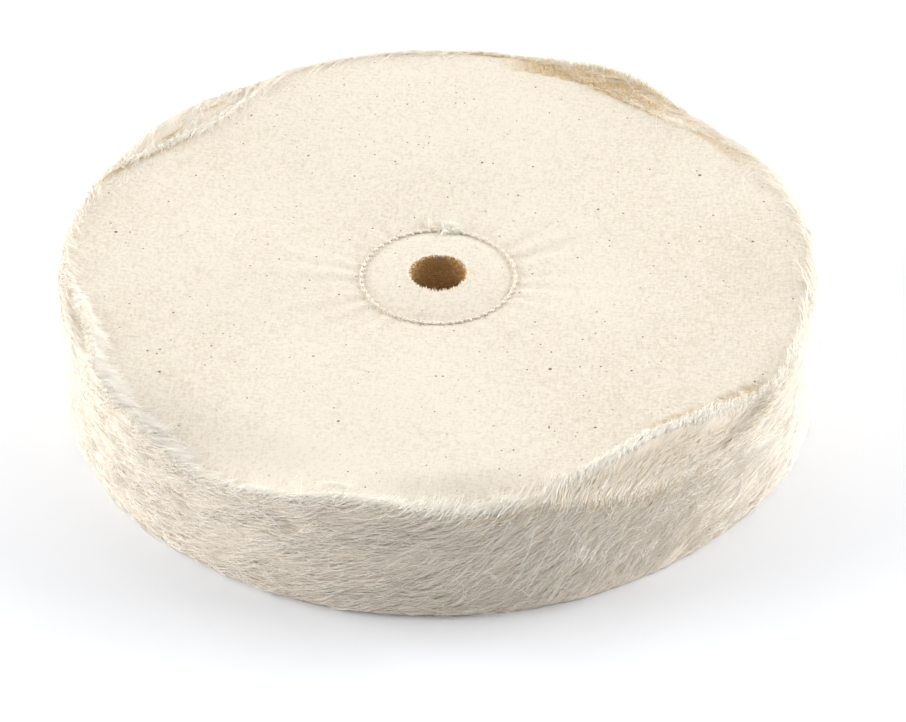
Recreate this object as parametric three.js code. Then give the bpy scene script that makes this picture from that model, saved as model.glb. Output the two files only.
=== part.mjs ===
/**
 * Loose-leaf cotton polishing wheel for a bench or lapidary polishing motor.
 *
 * Round leaves of unbleached calico are stacked on one arbor hole and held by a single
 * lockstitched ring round the hole: a needle thread on the top leaf and a bobbin thread
 * under the bottom one. The stitching presses the centre together, so the leaves fan
 * open towards the rim, where each one is cut a little raggedly.
 *
 * Millimetres, +Z up along the arbor hole, origin on the hole's axis at the level the
 * wheel lies on.
 */
import * as THREE from 'three';

// The stack of leaves
const WHEEL_RADIUS = 100;
const BORE_RADIUS = 7.95;
const LEAF_COUNT = 50;
const LEAF_SEGMENTS = 24;
const CLOTH_THICKNESS = 0.45;
const RIM_HEIGHT = 36;

// The pressed land round the hole, where a flange bears
const LAND_RADIUS = 19.5;
const LAND_BASE = 2;
const LAND_TOP = 31.5;

// The bottom leaf lies flat on what the wheel stands on, from here out
const REST_RADIUS = 80;

// The leaf edges
const RAGGED_CUT = 1.4;
const CUT_TURN = THREE.MathUtils.degToRad(137.5);
const LONG_WAVES = 3;
const SHORT_WAVES = 5;

// Where the topmost leaves were cut or have worn short, and where the rim sags
const SHORT_EDGES = [
  { leaves: 2, direction: 135, spread: 24, depth: 12 },
  { leaves: 3, direction: -166, spread: 20, depth: 6 },
  { leaves: 3, direction: -56, spread: 34, depth: 7 },
];
const RIM_SAG = { direction: -56, spread: 60, depth: 2.5 };

// The stitched ring
const STITCH_RADIUS = 21.5;
const STITCH_COUNT = 54;
const STITCH_ARCH = 0.3;
const THREAD_RADIUS = 0.4;
const THREAD_SIDES = 5;
const THREAD_CLEARANCE = 0.05;
const LOCK_DIRECTION = 82;
const LOCK_OVERLAP = 14;
const LOCK_OFFSET = 0.55;
const TAIL_RISE = 1.6;

const STEPS_PER_STITCH = 2;
const FULL_TURN = 2 * Math.PI;

const calico = new THREE.MeshStandardMaterial({ color: 0xe9e0cb, roughness: 0.95, metalness: 0 });
const thread = new THREE.MeshStandardMaterial({ color: 0xf3efe2, roughness: 0.8, metalness: 0 });

/** A smooth hump: depth at its direction, nothing from spread degrees away from it. */
function hump(angle, { direction, spread, depth }) {
  const turn = angle - THREE.MathUtils.degToRad(direction);
  const away = Math.abs(Math.atan2(Math.sin(turn), Math.cos(turn)));
  const share = Math.min(away / THREE.MathUtils.degToRad(spread), 1);
  return depth * 0.5 * (1 + Math.cos(Math.PI * share));
}

/** Height of a leaf's underside above the base, counting leaves from 0 at the bottom. */
function leafHeight(index, radius, angle) {
  const share = index / (LEAF_COUNT - 1);
  const landHeight = LAND_BASE + share * (LAND_TOP - CLOTH_THICKNESS - LAND_BASE);
  const rimHeight = share * (RIM_HEIGHT - CLOTH_THICKNESS - hump(angle, RIM_SAG));
  const flatFrom = index === 0 ? REST_RADIUS : WHEEL_RADIUS;
  const out = THREE.MathUtils.clamp((radius - LAND_RADIUS) / (flatFrom - LAND_RADIUS), 0, 1);
  return THREE.MathUtils.lerp(landHeight, rimHeight, out);
}

/** Radius of a leaf's cut edge. The bottom leaf keeps the full, true circle. */
function leafEdge(index, angle) {
  if (index === 0) return WHEEL_RADIUS;
  const start = index * CUT_TURN;
  const waves = Math.cos(LONG_WAVES * angle + start) + Math.cos(SHORT_WAVES * angle - start);
  const ragged = RAGGED_CUT * (0.5 + 0.25 * waves);
  const fromTop = LEAF_COUNT - index;
  const cuts = SHORT_EDGES.filter((cut) => fromTop <= cut.leaves);
  return WHEEL_RADIUS - ragged - cuts.reduce((sum, cut) => sum + hump(angle, cut), 0);
}

/** One leaf: a disc with a hole, as a lathed section whose points then take their place. */
function makeLeaf(index) {
  const stations = [BORE_RADIUS, LAND_RADIUS, WHEEL_RADIUS];
  if (index === 0) stations.splice(2, 0, REST_RADIUS);
  const under = stations.map((radius) => new THREE.Vector2(radius, 0));
  const over = stations.map((radius) => new THREE.Vector2(radius, CLOTH_THICKNESS)).reverse();
  const geometry = new THREE.LatheGeometry([...under, ...over, under[0]], LEAF_SEGMENTS);
  geometry.rotateX(Math.PI / 2);

  const place = geometry.getAttribute('position');
  for (let i = 0; i < place.count; i += 1) {
    const nominal = Math.hypot(place.getX(i), place.getY(i));
    const angle = Math.atan2(place.getY(i), place.getX(i));
    const atRim = nominal > WHEEL_RADIUS - 1;
    const radius = atRim ? leafEdge(index, angle) : nominal;
    const height = leafHeight(index, radius, angle) + place.getZ(i);
    place.setXYZ(i, radius * Math.cos(angle), radius * Math.sin(angle), height);
  }
  geometry.computeVertexNormals();
  return geometry;
}

/**
 * The run of one thread on a face of the wheel: once round the ring and a little more,
 * so that its two ends lie side by side, with an arch over each stitch and both ends
 * standing up as tails. Side is 1 on the top face and -1 underneath.
 */
class StitchRun extends THREE.Curve {
  constructor(side) {
    super();
    this.side = side;
  }

  getPoint(share, target = new THREE.Vector3()) {
    const overlap = THREE.MathUtils.degToRad(LOCK_OVERLAP);
    const turned = share * (FULL_TURN + overlap);
    const angle = THREE.MathUtils.degToRad(LOCK_DIRECTION) + turned;
    const radius = STITCH_RADIUS + LOCK_OFFSET * (2 * share - 1);

    const leaf = this.side > 0 ? LEAF_COUNT - 1 : 0;
    const face = this.side > 0 ? CLOTH_THICKNESS : 0;
    const arch = STITCH_ARCH * Math.sin((STITCH_COUNT * turned) / 2) ** 2;
    const toEnd = Math.min(turned, FULL_TURN + overlap - turned);
    const tail = Math.max(0, 1 - toEnd / overlap) ** 2;
    const rise = this.side > 0 ? TAIL_RISE * tail : 0;
    const slope = Math.abs(leafHeight(leaf, radius + 1, angle) - leafHeight(leaf, radius, angle));
    const clear = THREAD_RADIUS * (1 + slope) + THREAD_CLEARANCE + arch + rise;
    const height = leafHeight(leaf, radius, angle) + face + this.side * clear;
    return target.set(radius * Math.cos(angle), radius * Math.sin(angle), height);
  }
}

/** A thread: a round section carried along its stitched run. */
function makeThread(side) {
  const section = new THREE.Shape();
  for (let i = 0; i < THREAD_SIDES; i += 1) {
    const angle = (i * FULL_TURN) / THREAD_SIDES;
    const corner = [THREAD_RADIUS * Math.cos(angle), THREAD_RADIUS * Math.sin(angle)];
    if (i === 0) section.moveTo(...corner);
    else section.lineTo(...corner);
  }
  section.closePath();
  const steps = STITCH_COUNT * STEPS_PER_STITCH + 4;
  return new THREE.ExtrudeGeometry(section, { steps, extrudePath: new StitchRun(side) });
}

function named(name, geometry, material) {
  const mesh = new THREE.Mesh(geometry, material);
  mesh.name = name;
  return mesh;
}

const leaves = new THREE.Group();
for (let index = 0; index < LEAF_COUNT; index += 1) {
  const number = String(index + 1).padStart(2, '0');
  leaves.add(named(`leaf_${number}`, makeLeaf(index), calico));
}

const stitching = new THREE.Group();
stitching.add(named('needle_thread', makeThread(1), thread));
stitching.add(named('bobbin_thread', makeThread(-1), thread));

const wheel = new THREE.Group();
wheel.add(leaves, stitching);

export default wheel;
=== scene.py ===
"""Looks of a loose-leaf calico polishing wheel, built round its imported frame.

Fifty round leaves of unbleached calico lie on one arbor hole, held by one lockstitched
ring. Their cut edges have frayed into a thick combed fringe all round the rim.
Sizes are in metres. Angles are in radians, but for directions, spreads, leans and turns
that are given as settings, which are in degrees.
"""

import logging
import math
from dataclasses import dataclass, replace
from enum import Enum
from functools import partialmethod

import bpy
import numpy as np
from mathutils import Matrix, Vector


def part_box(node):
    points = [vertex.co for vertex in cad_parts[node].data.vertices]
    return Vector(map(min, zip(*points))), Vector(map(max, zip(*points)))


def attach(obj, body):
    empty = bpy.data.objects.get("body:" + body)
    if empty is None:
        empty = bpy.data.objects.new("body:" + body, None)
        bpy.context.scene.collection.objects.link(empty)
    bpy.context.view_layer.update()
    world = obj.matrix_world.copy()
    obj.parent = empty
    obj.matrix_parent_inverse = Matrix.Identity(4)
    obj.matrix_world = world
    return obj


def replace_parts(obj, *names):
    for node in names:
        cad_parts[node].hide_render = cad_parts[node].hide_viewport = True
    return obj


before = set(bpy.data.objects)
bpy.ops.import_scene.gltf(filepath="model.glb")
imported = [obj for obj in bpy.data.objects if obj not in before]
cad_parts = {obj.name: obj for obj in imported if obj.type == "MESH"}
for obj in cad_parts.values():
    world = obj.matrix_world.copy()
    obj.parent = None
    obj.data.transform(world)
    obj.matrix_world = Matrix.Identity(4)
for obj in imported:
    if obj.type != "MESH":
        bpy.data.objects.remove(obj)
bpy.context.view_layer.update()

log = logging.getLogger("polishing_wheel")

Array = np.ndarray
Colour = tuple[float, float, float, float]
Triple = tuple[float, float, float]
Finish = bpy.types.Material
Piece = bpy.types.Object
Socket = bpy.types.NodeSocket

MM = 0.001
FULL_TURN = 2 * math.pi
GOLDEN_SHARE = 0.6180339887
STRAND_TONE = "strand_tone"
COMBED_WAY = "combed_way"
LEAVES = sorted(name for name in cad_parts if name.startswith("leaf_"))


def ease(share: Array) -> Array:
    """Returns a smooth step from 0 to 1 as share goes from 0 to 1."""
    held = np.clip(share, 0, 1)
    return held * held * (3 - 2 * held)


def hump(angle: Array, direction: float, spread: float) -> Array:
    """Returns a smooth rise to 1 at a direction, and 0 from spread away from it.

    Args:
        angle: Where round the wheel, in radians.
        direction: The middle of the rise, in degrees.
        spread: How far the rise reaches each way, in degrees.
    """
    turn = angle - math.radians(direction)
    away = np.abs(np.arctan2(np.sin(turn), np.cos(turn)))
    return 0.5 * (1 + np.cos(math.pi * np.clip(away / math.radians(spread), 0, 1)))


def tilts(rng: np.random.Generator, middle: float, spread: float, size: object) -> Array:
    """Returns random angles in radians, from a middle and a spread in degrees."""
    return np.radians(rng.normal(middle, spread, size))


def polar(radius: Array, angle: Array, height: Array) -> Array:
    """Returns points from their distance from the axis, their angle and their height."""
    return np.stack([radius * np.cos(angle), radius * np.sin(angle), height], axis=-1)


@dataclass(frozen=True)
class Ripple:
    """A repeatable, smooth, random surface round the wheel, between about -1 and 1."""

    seed: int
    waves: int
    most_turns: int
    most_rings: float = 0

    def __call__(self, angle: Array, across: Array | float = 0) -> Array:
        """Returns the ripple's value.

        Args:
            angle: Where round the wheel, in radians.
            across: Where across the other way, as a share from 0 to 1.
        """
        rng = np.random.default_rng(self.seed)
        total = np.zeros(np.broadcast(angle, across).shape)
        for _ in range(self.waves):
            turns = rng.integers(1, self.most_turns + 1)
            rings = rng.uniform(-self.most_rings, self.most_rings)
            phase = rng.uniform(0, FULL_TURN)
            total = total + np.cos(turns * angle + rings * FULL_TURN * across + phase)
        return total / math.sqrt(self.waves)


# ---- finishes


class NodeDesk:
    """Adds shader nodes to one new material and wires them together."""

    def __init__(self, name: str) -> None:
        """Makes the material with one Principled shader on its output."""
        self.material = bpy.data.materials.new(name)
        self.material.use_nodes = True
        self.tree = self.material.node_tree
        self.shader = next(n for n in self.tree.nodes if n.type == "BSDF_PRINCIPLED")

    def feed(self, node: bpy.types.Node, inputs: dict[str | int, object]) -> None:
        """Links sockets to a node's inputs, or sets the inputs to plain values."""
        for key, value in inputs.items():
            if isinstance(value, Socket):
                self.tree.links.new(value, node.inputs[key])
            else:
                node.inputs[key].default_value = value

    def add(self, kind: str, inputs: dict[str | int, object], **settings: object) -> bpy.types.Node:
        """Adds a node of a kind, such as TexNoise, with its inputs and settings."""
        node = self.tree.nodes.new("ShaderNode" + kind)
        for key, value in settings.items():
            setattr(node, key, value)
        self.feed(node, inputs)
        return node

    def math(self, operation: str, *values: object) -> Socket:
        """Returns the result of a Math node on the values."""
        return self.add("Math", dict(enumerate(values)), operation=operation).outputs[0]

    times = partialmethod(math, "MULTIPLY")
    minus = partialmethod(math, "SUBTRACT")
    times_plus = partialmethod(math, "MULTIPLY_ADD")

    def blend(self, share: object, low: object, high: object) -> Socket:
        """Returns a colour that goes from low to high as share goes from 0 to 1."""
        inputs = {0: share, 6: low, 7: high}
        return self.add("Mix", inputs, data_type="RGBA", clamp_factor=True).outputs[2]

    def attribute(self, name: str) -> bpy.types.Node:
        """Returns a node that reads one of the mesh's own layers."""
        return self.add("Attribute", {}, attribute_name=name)

    def own_place(self) -> Socket:
        """Returns the piece's own coordinates."""
        return self.add("TexCoord", {}).outputs["Object"]

    def place(self, offset: Triple = (0, 0, 0), turn: float = 0) -> Socket:
        """Returns the piece's own coordinates, shifted and then turned about Z."""
        inputs = {"Vector": self.own_place(), "Location": offset, "Rotation": (0, 0, turn)}
        return self.add("Mapping", inputs).outputs[0]

    def scaled(self, vector: object, factors: Triple) -> Socket:
        """Returns a vector multiplied by a factor each way."""
        return self.add("VectorMath", {0: vector, 1: factors}, operation="MULTIPLY").outputs[0]

    def noise(self, vector: object, scale: float, detail: float = 2, output: str = "Fac") -> Socket:
        """Returns an output of a Noise texture on a vector."""
        inputs = {"Vector": vector, "Scale": scale, "Detail": detail}
        return self.add("TexNoise", inputs).outputs[output]

    def bump(self, height: object, strength: float, distance: float) -> None:
        """Puts a bump from a height on the shader's normal."""
        bump = self.add("Bump", {"Height": height, "Strength": strength, "Distance": distance})
        self.feed(self.shader, {"Normal": bump.outputs[0]})

    def cover(self, colour: object, roughness: float, sheen: float = 0, gloss: float = 0.2) -> Finish:
        """Returns the material, given its colour and a matt surface with a soft sheen."""
        inputs = {"Base Color": colour, "Roughness": roughness, "Sheen Weight": sheen}
        self.feed(self.shader, inputs | {"Sheen Roughness": 0.5, "Specular IOR Level": gloss})
        return self.material


@dataclass(frozen=True)
class Calico:
    """Unbleached plain-weave cotton, with slubs, seed specks and a soft drift of colour."""

    name: str
    grain_turn: float
    bolt_offset: float
    pale: Colour = (0.80, 0.73, 0.62, 1)
    deep: Colour = (0.61, 0.535, 0.425, 1)
    speck: Colour = (0.17, 0.12, 0.08, 1)
    yarn_pitch: float = 0.42 * MM
    slub_length: float = 5 * MM
    drift: tuple[tuple[float, float], ...] = ((16, 1), (420, 0.6), (1100, 1.9))
    speck_cell: float = 8 * MM
    speck_radius: float = 0.5 * MM
    # Painted shade: the leaves' cut edges inside the arbor hole are painted brown, for the deep shade
    # there.
    bore_shade: Colour = (0.80, 0.55, 0.27, 1)
    bore_shade_radius: float = 8.05 * MM
    bore_shade_blur: float = 0.1 * MM

    def yarn_tone(self, desk: NodeDesk, place: Socket, along_x: bool) -> Socket:
        """Returns how thick and pale each yarn of one direction is along its length."""
        across, along = 0.9 / self.yarn_pitch, 1 / self.slub_length
        factors = (along, across, 0) if along_x else (across, along, 0)
        return desk.noise(desk.scaled(place, factors), 1, 1)

    def specks(self, desk: NodeDesk, place: Socket, cell: float, radius: float) -> Socket:
        """Returns 1 on scattered specks of seed husk and 0 off them."""
        inputs = {"Vector": desk.scaled(place, (1, 1, 0)), "Scale": 1 / cell}
        points = desk.add("TexVoronoi", inputs).outputs
        parts = desk.add("SeparateColor", {0: points["Color"]}).outputs
        size = desk.times(desk.times_plus(parts[0], 0.6, 0.4), radius / cell)
        kept = desk.math("GREATER_THAN", parts[1], 0.3)
        near = desk.minus(size, points["Distance"])
        return desk.times(kept, desk.times_plus(near, 60, 0.5))

    def material(self) -> Finish:
        """Returns the cloth's material."""
        desk = NodeDesk(self.name)
        place = desk.place((self.bolt_offset, 0.6 * self.bolt_offset, 0), self.grain_turn)
        wander = {0: desk.noise(place, 80, output="Color"), 1: (0.9 * MM, 0.9 * MM, 0), 2: place}
        woven = desk.add("VectorMath", wander, operation="MULTIPLY_ADD").outputs[0]
        parts = desk.add("SeparateXYZ", {0: woven}).outputs
        waves = [desk.math("SINE", desk.times(parts[i], math.pi / self.yarn_pitch)) for i in (0, 1)]
        over = desk.math("GREATER_THAN", desk.times(*waves), 0)
        under = desk.minus(1, over)
        round_x, round_y = (desk.math("ABSOLUTE", wave) for wave in waves)
        warp = desk.times(round_x, desk.math("POWER", round_y, 0.4))
        weft = desk.times(round_y, desk.math("POWER", round_x, 0.4))
        weave = desk.math("ADD", desk.times(warp, over), desk.times(weft, under))
        warp, weft = (self.yarn_tone(desk, woven, along_x) for along_x in (False, True))
        tone = desk.math("ADD", desk.times(warp, over), desk.times(weft, under))

        # Painted shade: the gaps between the yarns are painted deeper and the yarns' crowns paler.
        shade = desk.times_plus(weave, -0.34, 0.42)
        shade = desk.times_plus(desk.minus(0.5, tone), 1.4, shade)
        for scale, amount in self.drift:
            shade = desk.times_plus(desk.minus(desk.noise(place, scale), 0.5), amount, shade)
        colour = desk.blend(shade, self.pale, self.deep)
        large = self.specks(desk, woven, self.speck_cell, self.speck_radius)
        small = self.specks(desk, place, 0.33 * self.speck_cell, 0.62 * self.speck_radius)
        colour = desk.blend(desk.times(small, 0.55), colour, self.speck)
        colour = desk.blend(desk.times(large, 0.75), colour, self.speck)
        level = desk.scaled(desk.own_place(), (1, 1, 0))
        from_axis = desk.add("VectorMath", {0: level}, operation="LENGTH").outputs["Value"]
        # Painted shade: brown on the cut edges inside the arbor hole.
        cut = desk.times(desk.minus(self.bore_shade_radius, from_axis), 1 / self.bore_shade_blur)
        height = desk.times_plus(tone, 1.2, weave)
        desk.bump(desk.times_plus(desk.noise(place, 2600), 0.5, height), 0.55, 0.12 * MM)
        return desk.cover(desk.blend(cut, colour, self.bore_shade), 0.92, 0.18)


@dataclass(frozen=True)
class FrayedCotton:
    """Loose cotton fibre: each strand has a tone of its own, with painted shade that makes it darker
    towards its root and paler towards its tip.
    """

    name: str
    pale: Colour
    deep: Colour

    def material(self) -> Finish:
        """Returns the fibre's material."""
        desk = NodeDesk(self.name)
        tone = desk.attribute(STRAND_TONE).outputs["Fac"]
        flecks = desk.minus(desk.noise(desk.place(), 700), 0.5)
        shade = desk.times_plus(flecks, 0.4, tone)
        return desk.cover(desk.blend(shade, self.deep, self.pale), 0.9, gloss=0)


@dataclass(frozen=True)
class NappedCotton(FrayedCotton):
    """Felted cotton stubs, streaked finely along the way they are combed."""

    streak_length: float = 7 * MM
    streak_width: float = 0.22 * MM

    def material(self) -> Finish:
        """Returns the nap's material."""
        desk = NodeDesk(self.name)
        tone = desk.attribute(STRAND_TONE).outputs["Fac"]
        way = desk.attribute(COMBED_WAY).outputs["Vector"]
        along, across = 1 / self.streak_length, 1 / self.streak_width
        streaks = desk.noise(desk.scaled(way, (along, along, across)), 1, 3)
        shade = desk.times_plus(desk.minus(streaks, 0.5), 1.5, tone)
        desk.bump(streaks, 0.8, 0.25 * MM)
        return desk.cover(desk.blend(shade, self.deep, self.pale), 0.9, gloss=0.05)


@dataclass(frozen=True)
class TwistedThread:
    """Two-ply cotton sewing thread."""

    name: str = "twisted_thread"
    pale: Colour = (0.95, 0.90, 0.80, 1)
    deep: Colour = (0.79, 0.70, 0.575, 1)

    def material(self) -> Finish:
        """Returns the thread's material."""
        desk = NodeDesk(self.name)
        place = desk.place()
        soiling = desk.noise(place, 240, 3)
        fibres = desk.noise(place, 5200)
        shade = desk.times_plus(fibres, 0.35, desk.times(soiling, 0.6))
        desk.bump(fibres, 0.4, 0.05 * MM)
        return desk.cover(desk.blend(shade, self.pale, self.deep), 0.8, 0.2)


@dataclass(frozen=True)
class WhiteSweep:
    """The studio's matt white table."""

    name: str = "white_sweep"
    colour: Colour = (0.868, 0.885, 0.915, 1)

    def material(self) -> Finish:
        """Returns the table's material."""
        return NodeDesk(self.name).cover(self.colour, 1)


# ---- the shape


@dataclass(frozen=True)
class ShortEdge:
    """A stretch where the topmost leaves were cut short, and the next ones may curl up."""

    direction: float
    spread: float
    depth: float
    leaves: int
    curl: float = 0
    curled: int = 0


@dataclass(frozen=True)
class Droop:
    """A stretch of rim where the upper leaves hang down over their last few millimetres."""

    direction: float
    spread: float
    depth: float
    width: float


@dataclass(frozen=True)
class Pleat:
    """A low fold in the top leaf, which faces the middle of the wheel."""

    direction: float
    spread: float
    radius: float
    height: float
    width: float


@dataclass
class Stack:
    """How the leaves lie: the heights and cut edges that every piece is built to."""

    cloth: float = 0.45 * MM
    land_radius: float = 19.5 * MM
    bore_radius: float = 7.95 * MM
    rest_radius: float = 80 * MM
    groove_radius: float = 20.3 * MM
    groove_depth: float = 0.10 * MM
    groove_width: float = 1.7 * MM
    land_crown: float = 1.6 * MM
    pucker: float = 0.3 * MM
    billow: float = 0.9 * MM
    trim: float = 0.9 * MM
    ragged: float = 0.3 * MM
    step_leaves: int = 3
    step_width: float = 2.6 * MM
    short_edges: tuple[ShortEdge, ...] = (
        ShortEdge(135, 23, 9 * MM, 2, 2.4 * MM, 4),
        ShortEdge(53, 25, 8 * MM, 1, 1.8 * MM, 4),
        ShortEdge(-166, 15, 5.5 * MM, 2),
        ShortEdge(-53, 27, 8 * MM, 3),
    )
    droops: tuple[Droop, ...] = (
        Droop(45, 15, 2.6 * MM, 9 * MM),
        Droop(-128, 27, 7 * MM, 22 * MM),
        Droop(-86, 19, 4.4 * MM, 16 * MM),
        Droop(-51, 30, 9 * MM, 9.5 * MM),
    )
    pleats: tuple[Pleat, ...] = (
        Pleat(-167, 6, 92 * MM, 0.8 * MM, 3 * MM),
        Pleat(-160, 4, 91 * MM, 0.7 * MM, 3 * MM),
        Pleat(-106, 3.5, 93 * MM, 1.6 * MM, 4 * MM),
    )
    outline_ripple: Ripple = Ripple(11, 7, 9)
    edge_ripple: Ripple = Ripple(13, 7, 24, 3)
    face_ripple: Ripple = Ripple(23, 6, 5, 0.7)
    pucker_ripple: Ripple = Ripple(31, 9, 34, 0.25)

    def __post_init__(self) -> None:
        """Reads the wheel's own heights and radius from the frame."""
        low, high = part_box(LEAVES[-1])
        self.land_top = low[2] + self.cloth
        self.rim_top = high[2]
        _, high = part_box(LEAVES[0])
        self.radius = high[0]
        self.land_base = high[2] - self.cloth
        self.count = len(LEAVES)
        self.last = self.count - 1

    def outline(self, angle: Array) -> Array:
        """Returns the radius that the leaves were trimmed to together."""
        return self.radius - self.trim * (1 - 0.4 * self.outline_ripple(angle))

    def edge(self, index: int, angle: Array) -> Array:
        """Returns the radius of a leaf's cut edge, counting from 0 at the bottom."""
        ragged = self.edge_ripple(angle + 2.4 * index, 0.37 * index)
        radius = self.outline(angle) - self.ragged * (1.6 + 0.6 * ragged)
        from_top = self.count - index
        for cut in self.short_edges:
            if from_top <= cut.leaves:
                depth = cut.depth * (1 - 0.05 * (from_top - 1))
                radius = radius - depth * hump(angle, cut.direction, cut.spread) ** 0.7
        return radius

    def rise(self, index: int, radius: Array, angle: Array) -> Array:
        """Returns the height of the middle of a leaf's cloth.

        Args:
            index: The leaf's place, from 0 at the bottom.
            radius: Distance from the arbor hole's axis.
            angle: Where round the wheel, in radians.
        """
        level = index / self.last
        base, top = self.land_base, self.land_top
        out = (radius - self.land_radius) / (self.radius - self.land_radius)
        swell = np.clip(out, 0, 1.3) ** 0.8
        on_land = base + level * (top - self.cloth - base)
        under = 1 - ease((radius - self.land_radius) / (self.rest_radius - self.land_radius))
        off_land = base * under * (1 - level) + level * (top - self.cloth + (self.rim_top - top) * swell)
        height = np.where(out > 0, off_land, on_land)
        for droop in self.droops:
            outer = ease((radius - self.radius + droop.width) / droop.width)
            here = hump(angle, droop.direction, droop.spread)
            height = height - level**1.5 * droop.depth * outer * here
        height = height + self.surface(level, radius, angle) + self.curling(index, radius, angle)
        height = height + level**12 * self.pleated(radius, angle)
        return np.maximum(height, 0) + 0.5 * self.cloth

    def pleated(self, radius: Array, angle: Array) -> Array:
        """Returns how far the pleats lift a face: steeply going out, then easily down."""
        lift = 0
        for pleat in self.pleats:
            out = (radius - pleat.radius) / pleat.width
            fold = ease(out * 4) * (1 - ease(out))
            lift = lift + pleat.height * fold * hump(angle, pleat.direction, pleat.spread) ** 0.6
        return lift

    def surface(self, level: float, radius: Array, angle: Array) -> Array:
        """Returns how the stitching and the lie of the cloth move a face up or down."""
        side = level**4 - 0.35 * (1 - level) ** 8
        groove = self.groove_radius
        off = np.abs(radius - groove) / self.groove_width
        dent = -self.groove_depth * np.exp(-(off**2))
        inside = np.clip(1 - radius / groove, 0, 1)
        crown = self.land_crown * np.sin(0.5 * math.pi * np.clip(1.6 * inside, 0, 1))
        out = np.clip((radius - groove) / (self.radius - groove), 0, 1)
        near = np.clip(out / 0.03, 0, 1) * np.exp(-out / 0.2)
        puckers = self.pucker * self.pucker_ripple(angle, out) * near
        far = np.sin(math.pi * out**0.7)
        billows = self.billow * self.face_ripple(angle, out) * far
        return side * (dent + crown + puckers + billows)

    def curling(self, index: int, radius: Array, angle: Array) -> Array:
        """Returns how far a leaf's rim curls up where the leaves over it were cut short."""
        lift = 0
        for cut in self.short_edges:
            under = self.count - index - cut.leaves
            if 0 < under <= 3 * cut.curled:
                start = self.radius - 1.2 * cut.depth
                share = np.clip((radius - start) / (self.radius - start), 0, 1.4)
                strength = math.exp(-(((under - 1) / cut.curled) ** 2))
                bend = cut.curl * strength * hump(angle, cut.direction, 1.1 * cut.spread)
                lift = lift + bend * share**1.5
        return lift

    def skin(self, radius: Array, angle: Array) -> Array:
        """Returns the height of the uppermost cloth, which steps down past a short edge."""
        height = self.rise(self.last - self.step_leaves, radius, angle)
        for index in range(self.count - self.step_leaves, self.count):
            skirt = self.edge(index, angle) + 0.42 * self.step_width
            covered = ease((skirt - radius) / self.step_width + 0.5)
            height = height + (self.rise(index, radius, angle) - height) * covered
        return height + 0.5 * self.cloth


@dataclass
class RimSurface:
    """The rim as one surface: up the wall, over its shoulder and in over the top face."""

    stack: Stack
    shoulder: float = 1.4 * MM
    lowest: float = 0.1 * MM

    def wall(self, angle: Array) -> Array:
        """Returns the height where the wall starts to turn over."""
        return self.stack.skin(self.stack.outline(angle) - self.shoulder, angle) - self.shoulder

    def top(self, angle: Array) -> Array:
        """Returns the height of the wall with its shoulder."""
        return self.wall(angle) + self.shoulder

    def reach(self, angle: Array, radius: Array) -> Array:
        """Returns the distance from the base, up and over, to a radius on the top face."""
        inner = self.stack.outline(angle) - self.shoulder
        turn = np.arccos(np.clip((radius - inner) / self.shoulder, 0, 1))
        return self.wall(angle) + self.shoulder * turn + np.maximum(inner - radius, 0)

    def place(self, angle: Array, up: Array, off: Array) -> Array:
        """Returns points on or off the surface.

        Args:
            angle: Where round the wheel, in radians.
            up: Distance from the base, up the wall and then inward over the top face.
            off: Distance off the surface.
        """
        stack, bend = self.stack, self.shoulder
        inner = stack.outline(angle) - bend
        level = stack.skin(inner, angle)
        wall = level - bend
        turn = np.clip((up - wall) / bend, 0, math.pi / 2)
        over = np.maximum(up - wall - bend * math.pi / 2, 0)
        radius = inner + (bend + off) * np.cos(turn) - over
        height = np.minimum(up, wall) + (bend + off) * np.sin(turn)
        height = height + np.where(over > 0, stack.skin(inner - over, angle) - level, 0)
        return polar(radius, angle, np.maximum(height, self.lowest))


@dataclass(frozen=True)
class Combing:
    """Which way the rim's fibres are combed: round the wheel, climbing as they go."""

    radius: float
    plain_lean: float = 14
    steep_lean: float = 45
    steep_at: float = -68
    steep_spread: float = 32
    seam: float = 0.5 * math.pi
    steps: int = 2048

    def lean(self, angle: Array) -> Array:
        """Returns how far the fibres turn up from the rim's own direction, in radians."""
        steep = hump(angle, self.steep_at, self.steep_spread)
        return np.radians(self.plain_lean + (self.steep_lean - self.plain_lean) * steep)

    def climb(self, turned: Array) -> Array:
        """Returns how far a line of fibres climbs over a turn that starts at the seam."""
        turns = np.linspace(0, FULL_TURN, self.steps + 1)
        slope = np.tan(self.lean(self.seam + turns))
        step = self.radius * FULL_TURN / self.steps
        risen = np.concatenate([[0], np.cumsum(0.5 * (slope[1:] + slope[:-1]))]) * step
        return np.interp(turned, turns, risen)


class Streaks:
    """Soft random streaks along the combing, which meet where they close round the rim."""

    def __init__(self, combing: Combing, seed: int, along: float, across: float) -> None:
        """Makes the streaks.

        Args:
            combing: The way that the streaks run.
            seed: Which streaks to make.
            along: How long a streak is.
            across: How wide a streak is.
        """
        self.combing = combing
        self.height = combing.climb(FULL_TURN) / 3
        grain = np.random.default_rng(seed).normal(size=(1024, 512))
        columns, rows = grain.shape
        around = np.fft.fftfreq(columns)[:, None] * columns / (FULL_TURN * combing.radius)
        upward = np.fft.rfftfreq(rows) * rows / self.height
        kept = np.exp(-2 * math.pi**2 * ((along * around) ** 2 + (across * upward) ** 2))
        soft = np.fft.irfft2(np.fft.rfft2(grain) * kept, s=grain.shape)
        self.values = soft / soft.std()

    def __call__(self, angle: Array, up: Array) -> Array:
        """Returns the streaks' value, about -2 to 2, at places on the rim."""
        columns, rows = self.values.shape
        turned = (angle - self.combing.seam) % FULL_TURN
        column = turned / FULL_TURN * columns
        row = ((up - self.combing.climb(turned)) / self.height % 1) * rows
        left, low = np.floor(column).astype(int), np.floor(row).astype(int)
        right, high = column - left, row - low
        total = 0
        for i, share_i in ((0, 1 - right), (1, right)):
            for j, share_j in ((0, 1 - high), (1, high)):
                total = total + share_i * share_j * self.values[(left + i) % columns, (low + j) % rows]
        return total


# ---- the cloth


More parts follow.
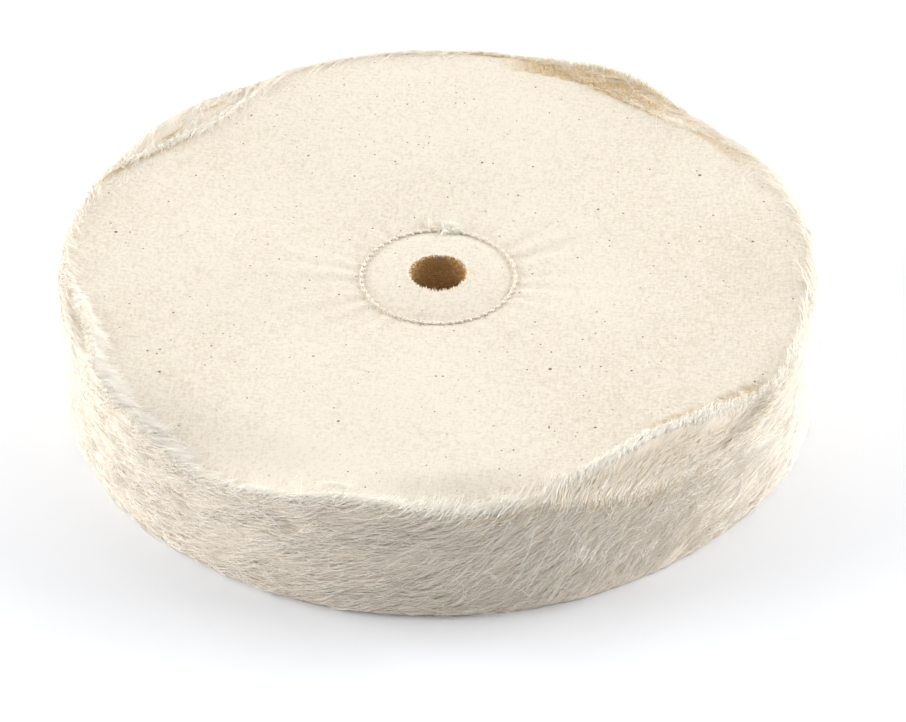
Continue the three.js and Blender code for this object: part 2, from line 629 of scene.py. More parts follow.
def linked(name: str, data: bpy.types.ID) -> Piece:
    """Returns a new object for a mesh, light or camera, in the scene and selected alone."""
    piece = bpy.data.objects.new(name, data)
    bpy.context.scene.collection.objects.link(piece)
    bpy.ops.object.select_all(action="DESELECT")
    piece.select_set(True)
    bpy.context.view_layer.objects.active = piece
    return piece


def own(piece: Piece) -> Piece:
    """Returns a piece, once it rides on the wheel's one body."""
    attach(piece, "root")
    log.info("%s: %d faces", piece.name, len(piece.data.polygons))
    return piece


def positions(mesh: bpy.types.Mesh) -> Array:
    """Returns the places of a mesh's vertices, one row each."""
    places = np.empty(len(mesh.vertices) * 3)
    mesh.vertices.foreach_get("co", places)
    return places.reshape(-1, 3)


def paint(mesh: bpy.types.Mesh, name: str, values: Array, kind: str = "FLOAT") -> None:
    """Writes a value to each of a mesh's points, as a layer that a finish reads."""
    layer = mesh.attributes.new(name, kind, "POINT")
    layer.data.foreach_set("value" if kind == "FLOAT" else "vector", values.ravel())


class Grade(Enum):
    """How finely a leaf is made: its number of segments, and of rings on each stretch."""

    TOP = (480, 8, 14, 24, 22)
    BOTTOM = (300, 5, 10, 12, 8)
    NEXT = (320, 2, 2, 8, 10)
    INNER = (144, 1, 1, 3, 2)


@dataclass
class ClothLeaves:
    """The leaves of calico, cut as discs with a hole and laid on each other."""

    stack: Stack
    seam_end: float = 25 * MM
    rim_start: float = 83 * MM
    seen_from_top: int = 7
    nick_depth: float = 0.45 * MM
    cloths: tuple[Calico, ...] = (
        Calico("calico_straight", 0.12, 0.31),
        Calico("calico_cross", 0.85, 0.57),
        Calico("calico_bias", 1.9, 0.83),
    )

    def blank(self, grade: Grade) -> bpy.types.Mesh:
        """Returns a flat disc of cloth, spun out ring by ring from the hole's edge."""
        segments, *rings = grade.value
        stack = self.stack
        stops = (stack.bore_radius, stack.land_radius, self.seam_end, self.rim_start, stack.radius)
        radii = [stops[0]]
        for count, inner, outer in zip(rings, stops, stops[1:]):
            radii += list(np.linspace(inner, outer, count + 1)[1:])
        bpy.ops.object.select_all(action="DESELECT")
        bpy.ops.mesh.primitive_circle_add(vertices=segments, radius=radii[0])
        piece = bpy.context.object
        bpy.ops.object.mode_set(mode="EDIT")
        bpy.ops.mesh.select_all(action="SELECT")
        for inner, outer in zip(radii, radii[1:]):
            bpy.ops.mesh.extrude_region_move()
            grow = outer / inner
            bpy.ops.transform.resize(value=(grow, grow, 1), center_override=(0, 0, 0))
        bpy.ops.mesh.select_all(action="SELECT")
        bpy.ops.mesh.normals_make_consistent(inside=False)
        bpy.ops.object.mode_set(mode="OBJECT")
        mesh = piece.data.copy()
        bpy.data.objects.remove(piece)
        return mesh

    def lay(self, mesh: bpy.types.Mesh, index: int) -> None:
        """Moves a blank's points to where one leaf lies."""
        stack = self.stack
        x, y, _ = positions(mesh).T
        nominal, angle = np.hypot(x, y), np.arctan2(y, x)
        share = (nominal - stack.land_radius) / (stack.radius - stack.land_radius)
        radius = nominal + np.clip(share, 0, 1) ** 3 * (stack.edge(index, angle) - stack.radius)
        nick = np.abs(Ripple(200 + index, 8, 110)(angle)) ** 1.5
        radius = radius - self.nick_depth * nick * (nominal < stack.bore_radius + 0.2 * MM)
        places = polar(radius, angle, stack.rise(index, radius, angle))
        mesh.vertices.foreach_set("co", places.ravel())
        mesh.update()

    def grade(self, index: int) -> Grade:
        """Returns how finely a leaf is made, by how much of it can be seen."""
        if index in (0, self.stack.last):
            return Grade.TOP if index else Grade.BOTTOM
        return Grade.NEXT if index >= self.stack.count - self.seen_from_top else Grade.INNER

    def build(self) -> None:
        """Makes the leaves, bottom first, each standing for its own node."""
        stack = self.stack
        blanks = {grade: self.blank(grade) for grade in Grade}
        finishes = [cloth.material() for cloth in self.cloths]
        for index, node in enumerate(LEAVES):
            mesh = blanks[self.grade(index)].copy()
            self.lay(mesh, index)
            leaf = linked(f"cloth_{node}", mesh)
            wall = leaf.modifiers.new("cloth", "SOLIDIFY")
            wall.thickness = stack.cloth
            wall.offset = 0
            bpy.ops.object.modifier_apply(modifier=wall.name)
            bpy.ops.object.shade_smooth_by_angle(angle=math.radians(50))
            leaf.data.materials.append(finishes[(stack.last - index) % len(finishes)])
            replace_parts(own(leaf), node)


# ---- the fibres


def unit(vectors: Array) -> Array:
    """Returns vectors brought to a length of 1."""
    return vectors / (np.linalg.norm(vectors, axis=-1, keepdims=True) + 1e-12)


def tube_mesh(name: str, paths: Array, radii: Array, sides: int, smooth: bool = False) -> bpy.types.Mesh:
    """Returns one mesh of many closed tubes.

    Args:
        name: The mesh's name.
        paths: The tubes' points, as tubes by points by 3.
        radii: The radius at each point, as tubes by points.
        sides: How many sides each tube has.
        smooth: Whether the sides are shaded as one round surface.
    """
    tubes, points, _ = paths.shape
    along = unit(np.gradient(paths, axis=1))
    aside = unit(np.cross(along, np.broadcast_to((0.23, 0.31, 0.92), paths.shape)))
    other = np.cross(along, aside)
    turn = (np.arange(sides) * FULL_TURN / sides)[:, None]
    ring = np.cos(turn) * aside[:, :, None] + np.sin(turn) * other[:, :, None]
    places = paths[:, :, None] + radii[:, :, None, None] * ring

    side = np.arange(sides)
    rows = np.arange(points - 1)[:, None] * sides
    here, beside = rows + side, rows + np.roll(side, -1)
    walls = np.stack([here, beside, beside + sides, here + sides], axis=-1).reshape(-1, 4)
    start = np.arange(tubes)[:, None] * points * sides
    quads = (walls + start[:, :, None]).reshape(-1, 4)
    caps = np.concatenate([side[::-1] + start, side + (points - 1) * sides + start])
    starts = np.concatenate([np.arange(len(quads)) * 4, quads.size + np.arange(len(caps)) * sides])

    mesh = bpy.data.meshes.new(name)
    mesh.vertices.add(tubes * points * sides)
    mesh.vertices.foreach_set("co", places.ravel())
    mesh.loops.add(quads.size + caps.size)
    mesh.loops.foreach_set("vertex_index", np.concatenate([quads.ravel(), caps.ravel()]))
    mesh.polygons.add(len(starts))
    mesh.polygons.foreach_set("loop_start", starts)
    mesh.polygons.foreach_set("use_smooth", np.full(len(starts), smooth))
    mesh.update(calc_edges=True)
    return mesh


@dataclass
class Strands:
    """A growth of fibres, one row to each, ready to be made into a piece.

    Paths are fibres by points by 3. Thick and tones are columns, a row to each fibre.
    """

    paths: Array
    thick: Array
    tones: Array
    fade: float = 0.24
    taper: float = 0.8
    sides: int = 3

    def piece(self, name: str, finish: Finish) -> Piece:
        """Returns the growth as one piece, each fibre painted darker towards its root and paler towards
        its tip, as painted shade among the fibres.
        """
        share = np.linspace(0, 1, self.paths.shape[1])
        radii = self.thick * (1 - self.taper * share**1.5)
        mesh = tube_mesh(name, self.paths, radii, self.sides)
        # Painted shade: the tone falls towards each fibre's root.
        tones = np.clip(self.tones + self.fade * (share - 0.5), 0, 1)
        paint(mesh, STRAND_TONE, np.repeat(tones.ravel(), self.sides))
        mesh.materials.append(finish)
        return own(linked(name, mesh))


@dataclass
class RimNap:
    """The close felted layer of fibre stubs that the loose fibres grow out of."""

    rim: RimSurface
    combing: Combing
    columns: int = 880
    rows: int = 84
    back_rows: int = 3
    thickness: float = 0.25 * MM
    backing: float = 1.3 * MM
    tucked: float = 0.35 * MM
    taper: float = 2 * MM
    overlap: float = 1.1 * MM
    base: float = 0.3 * MM
    foot: float = 1.5 * MM

    def build(self, finish: Finish) -> Piece:
        """Returns the nap, a closed band laid from a flat grid."""
        rows = self.rows + self.back_rows
        bpy.ops.object.select_all(action="DESELECT")
        bpy.ops.mesh.primitive_grid_add(x_subdivisions=self.columns, y_subdivisions=rows, size=1)
        piece = bpy.context.object
        piece.name = "rim_nap"
        around, across, _ = (positions(piece.data) + 0.5).T
        angle = self.combing.seam + FULL_TURN * around
        row = np.rint(across * rows)
        back = row > self.rows
        share = np.where(back, (rows - row) / self.back_rows, row / self.rows)

        stack = self.rim.stack
        end = self.rim.reach(angle, stack.edge(stack.last, angle) - self.overlap)
        up = self.base + share * (end - self.base)
        taper = ease((1 - share) * end / self.taper)
        locks = Streaks(self.combing, 5, 6 * MM, 1.1 * MM)(angle, up)
        wisps = Streaks(self.combing, 6, 3.5 * MM, 0.45 * MM)(angle, up)
        off = self.thickness + 0.14 * MM * locks + 0.08 * MM * wisps
        off = off * taper - self.tucked * (1 - taper)
        foot = np.clip(share * end / self.foot, 0, 1)
        off = np.where(back, -self.backing, off - self.tucked * (1 - foot) ** 2)
        piece.data.vertices.foreach_set("co", self.rim.place(angle, up, off).ravel())

        paint(piece.data, STRAND_TONE, np.clip(0.5 + 0.13 * locks + 0.11 * wisps, 0, 1))
        way = polar(self.combing.radius, angle, up - self.combing.climb(FULL_TURN * around))
        paint(piece.data, COMBED_WAY, way, "FLOAT_VECTOR")
        bpy.ops.object.mode_set(mode="EDIT")
        bpy.ops.mesh.select_all(action="SELECT")
        bpy.ops.mesh.remove_doubles(threshold=0.001 * MM)
        bpy.ops.mesh.normals_make_consistent(inside=False)
        bpy.ops.object.mode_set(mode="OBJECT")
        bpy.ops.object.shade_smooth()
        piece.data.materials.append(finish)
        return own(piece)


@dataclass
class RimFringe:
    """The combed fur of frayed yarn that covers the rim, grown in bands and locks."""

    rim: RimSurface
    combing: Combing
    bands: int = 5
    strands_per_band: int = 5800
    strands_per_lock: int = 13
    points: int = 4
    thick: float = 0.086 * MM
    shortest: float = 5 * MM
    longest: float = 13 * MM
    loft: float = 0.54 * MM
    root_depth: float = 0.6 * MM
    seed: int = 4
    thickets: tuple[tuple[float, float], ...] = ((-88, 24), (-57, 36), (-154, 30), (135, 24), (-118, 26))

    def lay(
        self, angle: Array, up: Array, lean: Array, bend: Array, length: Array, loft: Array,
        flatness: float = 0.8,
    ) -> Array:
        """Returns the paths of fibres that lie along the rim. All but flatness are columns.

        Args:
            angle: Where round the wheel each fibre is rooted, in radians.
            up: How far up and over the rim it is rooted.
            lean: Which way it starts, turned up from the rim's own direction, in radians.
            bend: How much further up it has turned by its tip, in radians.
            length: Its length.
            loft: How far off the rim it rises.
            flatness: How much less it climbs past the top edge where the front droops.
        """
        share = np.linspace(0, 1, self.points)
        way = lean + bend * share
        around = length * share * np.cos(way)
        top = self.rim.top(angle)
        flatten = 1 - flatness * hump(angle, -52, 36)
        root = np.where(up > top, top + (up - top) / flatten, up)
        higher = root + length * share * np.sin(way)
        higher = np.where(higher > top, top + (higher - top) * flatten, higher)
        settle = (1 - np.exp(-5 * share)) * (1 - 0.35 * share**2)
        off = loft * settle - self.root_depth * (1 - share) ** 4
        return self.rim.place(angle + around / self.combing.radius, higher, off + 0.55 * MM)

    def band(self, number: int) -> Strands:
        """Returns the fibres of one band of the wall, from the base up."""
        rng = np.random.default_rng(self.seed + number)
        size = (self.strands_per_band, 1)
        locks = self.strands_per_band // self.strands_per_lock
        lock = rng.integers(0, locks, size)
        angle = (np.arange(locks) + rng.uniform(0, 1, locks)) * FULL_TURN / locks
        level = (number + (np.arange(locks) * GOLDEN_SHARE) % 1) / self.bands
        wave = Ripple(77, 8, 14, 1.6)(angle, level)
        lean = self.combing.lean(angle) + np.radians(rng.normal(0, 5, locks) + 5 * wave)
        length = rng.uniform(self.shortest, self.longest, locks)
        bend = tilts(rng, 2, 9, locks)
        tone = 0.5 + 0.08 * rng.normal(0, 1, locks)
        up = np.clip(level * self.rim.top(angle), 0.5 * MM, None)[lock] + rng.normal(0, 0.75 * MM, size)
        up = np.clip(up, 0.3 * MM, None)
        around = rng.normal(0, 1.4 * MM, size)
        loft = self.loft * np.clip(rng.gamma(3, 0.33, size), 0.15, 2.4)
        paths = self.lay(
            angle[lock] + around / self.combing.radius, up, lean[lock] + tilts(rng, 0, 4, size),
            bend[lock] + tilts(rng, 0, 5, size), length[lock] * rng.uniform(0.6, 1.15, size), loft,
        )
        thick = self.thick * rng.uniform(0.7, 1.3, size)
        return Strands(paths, thick, tone[lock] + rng.normal(0, 0.07, size))

    def crest(self, count: int = 8000) -> Strands:
        """Returns the pale fluff that lies over the rim's top edge."""
        rng = np.random.default_rng(self.seed + 50)
        guess = rng.uniform(-math.pi, math.pi, 6 * count)
        humps = np.array([hump(guess, *thicket) for thicket in self.thickets])
        spikes, ledge, notch, torn, front = humps
        wanted = 0.8 + 1.4 * spikes + 2.3 * ledge + 1.5 * notch + 1.2 * torn + 1.6 * front
        kept = np.flatnonzero(rng.uniform(0, 5, len(guess)) < wanted)[:count, None]
        angle, size = guess[kept], kept.shape
        spikes, ledge, notch, torn, front = (each[kept] for each in humps)
        stack = self.rim.stack
        inner = stack.edge(stack.last, angle) - (0.4 + 1.8 * ledge) * MM
        width = np.minimum(stack.outline(angle) - inner, (3.2 - 0.8 * ledge) * MM)
        radius = inner + width * rng.uniform(0, 1, size)
        up = self.rim.reach(angle, radius) - 0.5 * MM * rng.uniform(0, 1, size)
        lean = 30 + 16 * spikes + 6 * ledge + 20 * notch + 13 * Ripple(91, 9, 150)(angle)
        length = 2.4 + 3.8 * spikes + 0.8 * ledge + 2.6 * notch + 2 * torn + 1.2 * front
        paths = self.lay(
            angle, up, np.radians(lean + rng.normal(0, 9, size)), tilts(rng, -4, 12, size),
            MM * length * rng.uniform(0.45, 1.25, size),
            MM * (0.35 + 0.35 * spikes + 0.5 * notch) * rng.gamma(3, 0.33, size), 0.35,
        )
        thick = 0.9 * self.thick * rng.uniform(0.6, 1.2, size)
        return Strands(paths, thick, 0.86 + rng.normal(0, 0.1, size))

    def slope(self, count: int = 3000) -> Strands:
        """Returns the long combed fibres on the slope below the front's short edge."""
        rng = np.random.default_rng(self.seed + 55)
        size = (count, 1)
        angle = np.radians(-53 + 16 * (rng.uniform(-1, 1, size) + rng.uniform(-1, 1, size)))
        stack = self.rim.stack
        inner = stack.edge(stack.last, angle)
        radius = inner + (stack.outline(angle) - inner) * rng.uniform(0.05, 1, size)
        paths = self.lay(
            angle - math.radians(3), self.rim.reach(angle, radius) - 2 * MM,
            self.combing.lean(angle) + tilts(rng, 0, 8, size), tilts(rng, -6, 10, size),
            MM * rng.uniform(4, 10, size), self.loft * rng.gamma(3, 0.33, size),
        )
        thick = self.thick * rng.uniform(0.7, 1.2, size)
        return Strands(paths, thick, 0.74 + rng.normal(0, 0.14, size))

    def loose_threads(self) -> Strands:
        """Returns the few whole yarns that have come away and lie across the fur."""
        yarns = np.array([
            (-98, 0.97, -28, 50, 10), (-79, 0.42, 58, 14, 14), (-118, 0.86, 20, -40, 9),
            (-41, 0.35, 50, 26, 8), (20, 0.8, 40, -60, 8), (118, 0.6, 20, 70, 12),
        ])
        angle, level, lean, bend, length = yarns.T[:, :, None]
        angle = np.radians(angle)
        up = level * self.rim.top(angle)
        whole = replace(self, points=14)
        paths = whole.lay(angle, up, np.radians(lean), np.radians(bend), MM * length, 1 * MM)
        thick = np.full(angle.shape, 0.11 * MM)
        return Strands(paths, thick, np.full(angle.shape, 0.95), taper=0.3, sides=5)

    def strays(self, count: int = 900) -> Strands:
        """Returns the long single hairs that stand off the fur."""
        rng = np.random.default_rng(self.seed + 60)
        size = (count, 1)
        angle = rng.uniform(-math.pi, math.pi, size)
        paths = self.lay(
            angle, self.rim.top(angle) * rng.uniform(0.03, 1.04, size),
            self.combing.lean(angle) + tilts(rng, 8, 18, size), tilts(rng, 0, 50, size),
            MM * rng.uniform(4, 14, size), MM * rng.uniform(0.8, 2.6, size),
        )
        thick = 0.055 * MM * rng.uniform(0.7, 1.2, size)
        return Strands(paths, thick, 0.85 + rng.normal(0, 0.12, size), taper=0.5)

    def build(self, finish: Finish, clean: Finish, shade_painted_finish: Finish) -> None:
        """Makes the fringe's bands from the base up, then its crest and its strays."""
        for number in range(self.bands):
            self.band(number).piece(f"rim_fringe_{number + 1}", finish)
        # Painted light: the crest takes the paler lit copy of the fibre.
        self.crest().piece("rim_crest", clean)
        # Painted shade: the slope's fibres take the darker brown copy, for the shade on the drooping
        # front.
        self.slope().piece("rim_slope", shade_painted_finish)
        self.strays().piece("rim_strays", finish)
        # Painted light: the loose yarns take the paler lit copy of the fibre.
        self.loose_threads().piece("loose_threads", clean)


class Tint(Enum):
    """Whether fibres take the darker brown copy of the cotton, which paints shade, or the paler lit
    copy, which paints light.
    """

    CLEAN = "clean"
    SOILED = "soiled"


@dataclass(frozen=True)
class Tuft:
    """A clump or hedge of fibres that stands off the cloth near the rim's top edge.

    Angles are in degrees: heading is 0 straight out from the axis, 90 along the combing and
    180 straight in, and rise is above level. Inset and length are in millimetres. Inset is
    from the trimmed outline, or from the top leaf's own cut edge where follow is set.
    """

    direction: float
    spread: float
    inset: tuple[float, float]
    strands: int
    length: float
    heading: float
    rise: float
    fan: float
    tone: float = 0.85
    fade: float = 0.3
    droop: float = 0.3
    tint: Tint = Tint.CLEAN
    follow: bool = False


@dataclass
class EdgeTufts:
    """The torn tufts, frayed curls and feathers along the top edge."""

    rim: RimSurface
    points: int = 4
    thick: float = 0.075 * MM
    tufts: tuple[Tuft, ...] = (
        # Painted light and shade: the tufts of the darker brown tint paint the shade in the creases and
        # on the curled-up inner faces at the back right, the dark crease and slits at the back left, and
        # the tan shade and dark spot by the feathers at the front right; the other tufts take the paler
        # lit copy, painted light.
        Tuft(62, 14, (0, 7.2), 2000, 2.6, 0, 50, 10, 0, 0.6, 0, Tint.SOILED),
        Tuft(62, 13, (-0.3, 1.8), 1100, 4.2, 10, 36, 14, 0.95, 0.1, 0.1),
        Tuft(41, 13, (0.3, 6.6), 1300, 1.7, 70, 16, 16, 0.4, 0.25, 0.1, Tint.SOILED),
        Tuft(58, 17, (-0.7, 0.5), 1100, 1.5, 70, 40, 20, -0.3, 0.2, 0, Tint.SOILED, True),
        Tuft(82, 5, (0.5, 1.6), 320, 2.8, 60, 18, 20, 0.2, 0.5, 0.2, Tint.SOILED),
        Tuft(136, 19, (0.3, 8.2), 2200, 4, 100, 14, 26, 0.9),
        Tuft(146, 5, (4, 7), 320, 3.6, 80, 30, 40, 0.9),
        Tuft(127, 5, (2, 6), 320, 3.6, 60, 30, 40, 0.9),
        Tuft(147, 9, (-0.1, 0.6), 600, 2.6, 95, 14, 6, -0.25, 0.1, 0, Tint.SOILED, True),
        Tuft(140, 3, (4.4, 4.9), 80, 2.4, 95, 26, 6, 0, 0, 0, Tint.SOILED),
        Tuft(129, 3, (3.2, 3.7), 80, 2.4, 95, 26, 6, 0, 0, 0, Tint.SOILED),
        Tuft(-171, 4, (1, 5), 400, 3.8, 150, 14, 26, 1),
        Tuft(-160, 5, (0.5, 4.5), 620, 4.8, 140, 16, 26, 1),
        Tuft(-149, 4, (0.3, 3), 460, 4.6, 150, 15, 26, 1),
        Tuft(-140, 4, (0.3, 2.6), 520, 5.8, 130, 17, 24, 1),
        Tuft(-134, 3, (0.5, 2.5), 380, 5.2, 120, 16, 24, 1),
        Tuft(-58, 8, (-0.6, 1.2), 800, 3.6, 196, 26, 24, 0.95, 0.2, follow=True),
        Tuft(-46, 5, (0.2, 1.4), 300, 5.2, 208, 18, 24, 0.35, 0.6, 0.3, Tint.SOILED, True),
        Tuft(-35, 5, (0, 1.2), 260, 4.6, 208, 18, 24, 0.4, 0.6, 0.3, Tint.SOILED, True),
        Tuft(-42, 2, (0.6, 1.3), 160, 1.8, 205, 26, 16, -0.3, 0.3, 0.1, Tint.SOILED, True),
        Tuft(-39, 9, (-0.8, 0.6), 800, 3.2, 190, 30, 26, 0.95, 0.2, follow=True),
        Tuft(-18, 12, (0, 1.4), 420, 2.4, 60, 16, 30, 0.8),
        Tuft(8, 16, (-0.2, 1), 420, 2, 30, 10, 26, 0.8),
        Tuft(32, 8, (-0.2, 1), 260, 2.4, 30, 20, 26, 0.7),
    )
    seed: int = 40

    def grow(self, number: int, tuft: Tuft) -> Strands:
        """Returns one tuft's fibres."""
        rng = np.random.default_rng(self.seed + number)
        size = (tuft.strands, 1)
        stack = self.rim.stack
        turn = rng.uniform(-1, 1, size) + rng.uniform(-1, 1, size)
        angle = np.radians(tuft.direction + 0.6 * tuft.spread * turn)
        lock = Ripple(300 + number, 7, 160)(angle)
        inset = MM * rng.uniform(*tuft.inset, size)
        edge = stack.edge(stack.last, angle) if tuft.follow else stack.outline(angle)
        radius = edge - inset
        fan = 0.5 * tuft.fan * (lock + rng.normal(0, 0.7, size))
        heading = angle + np.radians(tuft.heading + fan)
        rise = np.radians(np.clip(tuft.rise * rng.uniform(0.5, 1.2, size), 2, 85))
        length = MM * tuft.length * rng.uniform(0.45, 1.2, size)
        share = np.linspace(0, 1, self.points)
        heading = heading + tilts(rng, 0, 22, size) * share
        flat = length * np.cos(rise) * share
        x = radius * np.cos(angle) + flat * np.cos(heading)
        y = radius * np.sin(angle) + flat * np.sin(heading)
        out, turned = np.hypot(x, y), np.arctan2(y, x)
        up = length * np.sin(rise) * share - tuft.droop * length * share**2
        height = stack.skin(radius, angle) - 0.2 * MM + up
        held = (share > 0) & (out < stack.outline(turned))
        height = np.where(held, np.maximum(height, stack.skin(out, turned) + 0.1 * MM), height)
        thick = self.thick * rng.uniform(0.6, 1.2, size)
        tones = tuft.tone + rng.normal(0, 0.09, size)
        return Strands(np.stack([x, y, height], axis=-1), thick, tones, tuft.fade)

    def build(self, finishes: dict[Tint, Finish]) -> None:
        """Makes one piece for each tuft."""
        for number, tuft in enumerate(self.tufts):
            self.grow(number, tuft).piece(f"edge_tuft_{number + 1:02d}", finishes[tuft.tint])


@dataclass
class BoreFray:
    """The arbor hole's fuzz: stubs down its wall, painted brown and darker lower down as the shade in
    the hole, and pale frays on its top edge.
    """

    stack: Stack
    stubs: int = 3600
    frays: int = 520
    root_depth: float = 0.12 * MM
    thick: float = 0.13 * MM

    def grow(self, count: int, seed: int, low: float, high: float, length: float) -> Strands:
        """Returns short fibres that point into the hole, between two heights."""
        rng = np.random.default_rng(seed)
        size = (count, 1)
        angle = rng.uniform(-math.pi, math.pi, size)
        height = rng.uniform(low, high, size)
        heading = angle + math.pi + tilts(rng, 0, 45, size)
        rise = tilts(rng, 12, 28, size)
        reach = length * rng.uniform(0.35, 1.1, size)
        root = polar(self.stack.bore_radius + self.root_depth, angle, height)
        way = polar(np.cos(rise), heading, np.sin(rise))
        thick = self.thick * rng.uniform(0.6, 1.3, size)
        # Painted light: stubs higher up the hole's wall are painted paler, where more light reaches in.
        tones = 0.5 + 0.6 * ((height - low) / (high - low)) ** 4 + rng.normal(0, 0.6, size)
        paths = root + reach[:, :, None] * way * np.linspace(0, 1, 3)[:, None]
        return Strands(paths, thick, tones)

    def build(self, bore_shade_fibre: Finish, pale: Finish) -> None:
        """Makes the stubs and the frays."""
        stack = self.stack
        top = float(stack.rise(stack.last, stack.bore_radius, 0)) + 0.5 * stack.cloth
        stubs = self.grow(self.stubs, 71, stack.land_base, stack.land_top + 1 * MM, 0.8 * MM)
        stubs.piece("bore_stubs", bore_shade_fibre)
        frays = self.grow(self.frays, 72, top - 0.5 * MM, top + 0.05 * MM, 1.1 * MM)
        # Painted light: the frays take the paler lit copy of the fibre.
        frays.piece("bore_frays", pale)


# ---- the stitching


class Face(Enum):
    """Which face of the wheel a thread runs on, and its height's sign."""

    TOP = 1.0
    UNDERSIDE = -1.0


@dataclass
class LockStitch:
    """The ring of lockstitching that holds the leaves together."""

    stack: Stack
    stitches: int = 54
    steps: int = 14
    lock_at: float = 82
    overlap: int = 2
    ply_radius: float = 0.22 * MM
    twist: float = 1.7 * MM
    arch: float = 0.36 * MM
    dip: float = 1.1 * MM
    lift: float = 0.24 * MM
    tail: float = 4.2 * MM
    tail_sweeps: tuple[float, float] = (150, 20)
    fluff_fibres: int = 1300
    fuzz_fibres: int = 1000

    def centre(self, face: Face) -> Array:
        """Returns the line that a thread follows, with a tail at each end."""
        stack = self.stack
        total = self.stitches + self.overlap
        run = np.linspace(0, total, total * self.steps + 1)
        phase = run % 1
        angle = math.radians(self.lock_at) + run * FULL_TURN / self.stitches
        second = ease(run - self.stitches + 0.5)
        radius = stack.groove_radius + 0.3 * MM * (phase - 0.5) + 0.8 * MM * second
        nearest = np.minimum(phase, 1 - phase)
        lift = self.arch * np.sin(math.pi * phase) ** 0.8
        lift = lift - self.dip * np.exp(-((nearest / 0.15) ** 2))
        index = stack.last if face is Face.TOP else 0
        skin = stack.rise(index, radius, angle) + face.value * 0.5 * stack.cloth
        line = polar(radius, angle, skin + face.value * (lift + self.lift))
        share = np.linspace(0, 1, 16)[1:, None]
        up = np.array([0, 0, face.value])
        rise = self.dip * ease(4 * share) * up + 0.3 * self.tail * np.sin(2.4 * share) * up
        tails = []
        for end, sweep in zip((line[0], line[-1]), self.tail_sweeps):
            way = math.radians(self.lock_at + sweep)
            aside = np.array([math.cos(way), math.sin(way), 0])
            tails.append(end + 0.75 * self.tail * share * aside + rise)
        return np.concatenate([tails[0][::-1], line, tails[1]])

    def thread(self, name: str, face: Face, finish: Finish) -> Piece:
        """Returns one thread, two plies twisted round its line."""
        line = self.centre(face)
        along = unit(np.gradient(line, axis=0))
        gone = np.cumsum(np.linalg.norm(np.diff(line, axis=0, prepend=line[:1]), axis=1))
        aside = unit(np.cross(along, np.broadcast_to((0, 0, 1), along.shape)))
        above = np.cross(aside, along)
        turn = gone / self.twist * FULL_TURN + np.array([[0], [math.pi]])
        turn = turn[:, :, None]
        paths = line + self.ply_radius * (np.cos(turn) * aside + np.sin(turn) * above)
        mesh = tube_mesh(name, paths, np.full(paths.shape[:2], self.ply_radius), 7, smooth=True)
        mesh.materials.append(finish)
        return own(linked(name, mesh))

    def fluff(self) -> Strands:
        """Returns the teased fluff round the thread's cut ends."""
        rng = np.random.default_rng(88)
        size = (self.fluff_fibres, 1)
        middle = tilts(rng, self.lock_at - 1, 2.6, size)
        radius = self.stack.groove_radius + MM * (0.9 + rng.normal(0, 0.6, size))
        return self.tease(middle, radius, MM * rng.uniform(0.6, 3.2, size), rng)

    def fuzz(self) -> Strands:
        """Returns the short fuzz that the thread and its needle holes raise all round."""
        rng = np.random.default_rng(89)
        size = (self.fuzz_fibres, 1)
        stitch = rng.integers(0, self.stitches, size) + rng.normal(0, 0.16, size)
        middle = math.radians(self.lock_at) + stitch * FULL_TURN / self.stitches
        radius = self.stack.groove_radius + MM * rng.normal(0.1, 0.35, size)
        return self.tease(middle, radius, MM * rng.uniform(0.3, 1.1, size), rng)

    def tease(self, angle: Array, radius: Array, reach: Array, rng: np.random.Generator) -> Strands:
        """Returns fibres that spring every way from the top face.

        Args:
            angle: Where round the wheel each fibre is rooted, in radians.
            radius: How far from the axis it is rooted.
            reach: Its length.
            rng: Where the fibres' headings are drawn from.
        """
        size = angle.shape
        way = rng.uniform(0, FULL_TURN, size)
        rise = np.radians(rng.uniform(5, 50, size))
        share = np.linspace(0, 1, 4)
        way = way + rng.normal(0, 0.8, size) * share
        face = self.stack.rise(self.stack.last, radius, angle) + 0.25 * MM
        up = reach * np.sin(rise) * share * (1 - 0.35 * share)
        paths = polar(radius, angle, face) + polar(reach * np.cos(rise) * share, way, up)
        thick = 0.065 * MM * rng.uniform(0.7, 1.2, size)
        return Strands(paths, thick, 0.9 + rng.normal(0, 0.1, size))

    def build(self, finish: Finish, fibre: Finish) -> None:
        """Makes both threads, the fluff at their cut ends and the fuzz along them."""
        needle = self.thread("twisted_needle_thread", Face.TOP, finish)
        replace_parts(needle, "needle_thread")
        bobbin = self.thread("twisted_bobbin_thread", Face.UNDERSIDE, finish)
        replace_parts(bobbin, "bobbin_thread")
        # Painted light: the fluff and the fuzz are given the paler lit copy of the fibre.
        self.fluff().piece("thread_fluff", fibre)
        self.fuzz().piece("stitch_fuzz", fibre)


# ---- the studio


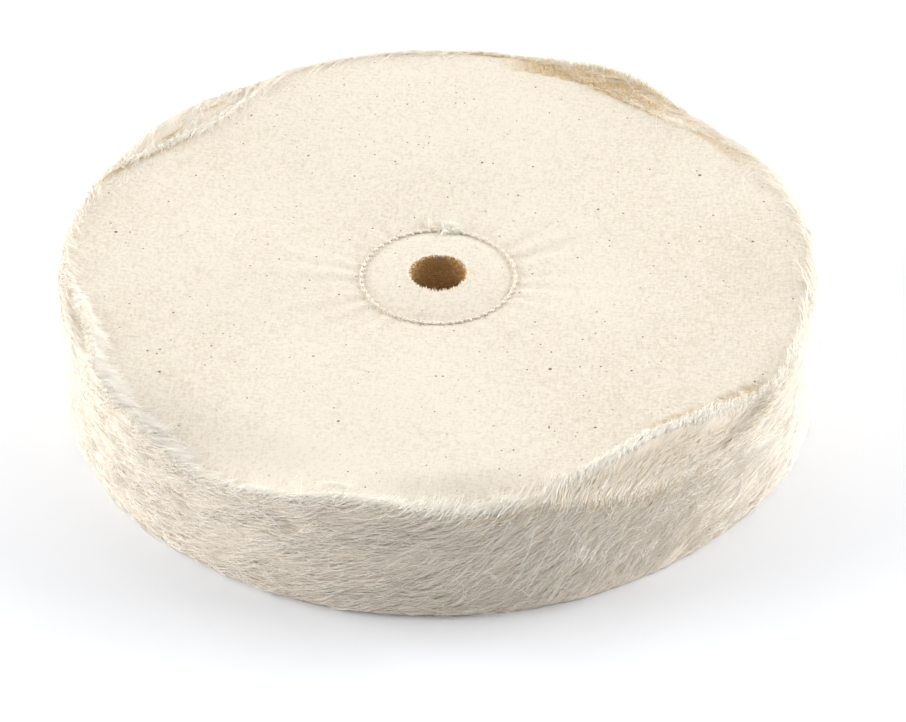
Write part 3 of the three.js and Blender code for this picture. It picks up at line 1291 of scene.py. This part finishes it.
@dataclass
class Studio:
    """The white table, the soft lights and the camera."""

    elevation: float = math.radians(36.9)
    distance: float = 1.2
    lens: float = 181.5
    aim_right: float = 3.8 * MM
    aim_down: float = 25.5 * MM
    table_half: float = 4
    rim_height: float = 36 * MM
    room: Colour = (1, 0.983, 0.963, 1)
    room_strength: float = 0.44

    def table(self) -> None:
        """Lays the table that the wheel lies on."""
        bpy.ops.object.select_all(action="DESELECT")
        bpy.ops.mesh.primitive_plane_add(size=2 * self.table_half, location=(0, 0, 0))
        table = bpy.context.object
        table.name = "table"
        table.data.materials.append(WhiteSweep().material())

    def panel(self, name: str, place: Triple, size: float, power: float) -> None:
        """Hangs one square soft light that faces the wheel."""
        light = bpy.data.lights.new(name, "AREA")
        light.shape = "SQUARE"
        light.size = size
        light.energy = power
        lamp = linked(name, light)
        lamp.location = place
        lamp.rotation_euler = (-Vector(place)).to_track_quat("-Z", "Y").to_euler()

    def lights(self) -> None:
        """Sets the soft lights and the pale surroundings."""
        self.panel("over_light", (0.1, 1, 1.42), 1.6, 10.2)
        self.panel("left_light", (-1.5, 0.15, 0.42), 1.2, 35)
        self.panel("right_light", (1.5, 0.25, 0.42), 1.2, 35)
        world = bpy.data.worlds.new("pale_room")
        world.use_nodes = True
        inputs = world.node_tree.nodes["Background"].inputs
        inputs[0].default_value = self.room
        inputs[1].default_value = self.room_strength
        bpy.context.scene.world = world
        bpy.context.scene.view_settings.view_transform = "Standard"

    def camera(self) -> None:
        """Sets the camera at the viewer's angle."""
        back = Vector((0, -math.cos(self.elevation), math.sin(self.elevation)))
        rise = Vector((0, math.sin(self.elevation), math.cos(self.elevation)))
        centre = Vector((0, 0, self.rim_height))
        eye = centre + self.distance * back
        aim = centre + self.aim_right * Vector((1, 0, 0)) - self.aim_down * rise
        data = bpy.data.cameras.new("camera")
        data.lens = self.lens
        data.sensor_width = 36
        data.clip_end = 50
        camera = linked("camera", data)
        camera.location = eye
        camera.rotation_euler = (aim - eye).to_track_quat("-Z", "Y").to_euler()
        bpy.context.scene.camera = camera


def main() -> None:
    """Builds the studio and then the wheel, from its cloth out to its loose fibres."""
    logging.basicConfig(level=logging.INFO, format="%(name)s: %(message)s")
    studio = Studio()
    studio.camera()
    studio.table()
    studio.lights()
    stack = Stack()
    rim = RimSurface(stack)
    combing = Combing(stack.radius)
    ClothLeaves(stack).build()
    felted = NappedCotton("napped_cotton", (0.82, 0.745, 0.645, 1), (0.65, 0.57, 0.465, 1))
    RimNap(rim, combing).build(felted.material())
    frayed = FrayedCotton("frayed_cotton", (0.99, 0.96, 0.905, 1), (0.93, 0.865, 0.77, 1))
    # Painted shade: a darker brown copy of the fibre paints the shade in creases, under curled edges and
    # beside the feathers.
    soiled = FrayedCotton("shade_painted_cotton", (0.99, 0.955, 0.88, 1), (0.78, 0.615, 0.36, 1))
    # Painted light: a paler lit copy of the fibre paints the light on the fluff of the top edge.
    lit_cotton = FrayedCotton("lit_copy_cotton", (0.998, 0.972, 0.91, 1), (0.965, 0.905, 0.80, 1))
    fibre, shade_painted_finish, clean = frayed.material(), soiled.material(), lit_cotton.material()
    RimFringe(rim, combing).build(fibre, clean, shade_painted_finish)
    EdgeTufts(rim).build({Tint.CLEAN: clean, Tint.SOILED: shade_painted_finish})
    LockStitch(stack).build(TwistedThread().material(), clean)
    # Painted shade: the hole's fibres are painted brown for the deep shade inside the arbor hole.
    bore_shade_fibre = FrayedCotton("bore_shaded_cotton", (0.99, 0.86, 0.60, 1), (0.54, 0.29, 0.09, 1))
    BoreFray(stack).build(bore_shade_fibre.material(), clean)


if __name__ == "__main__":
    main()
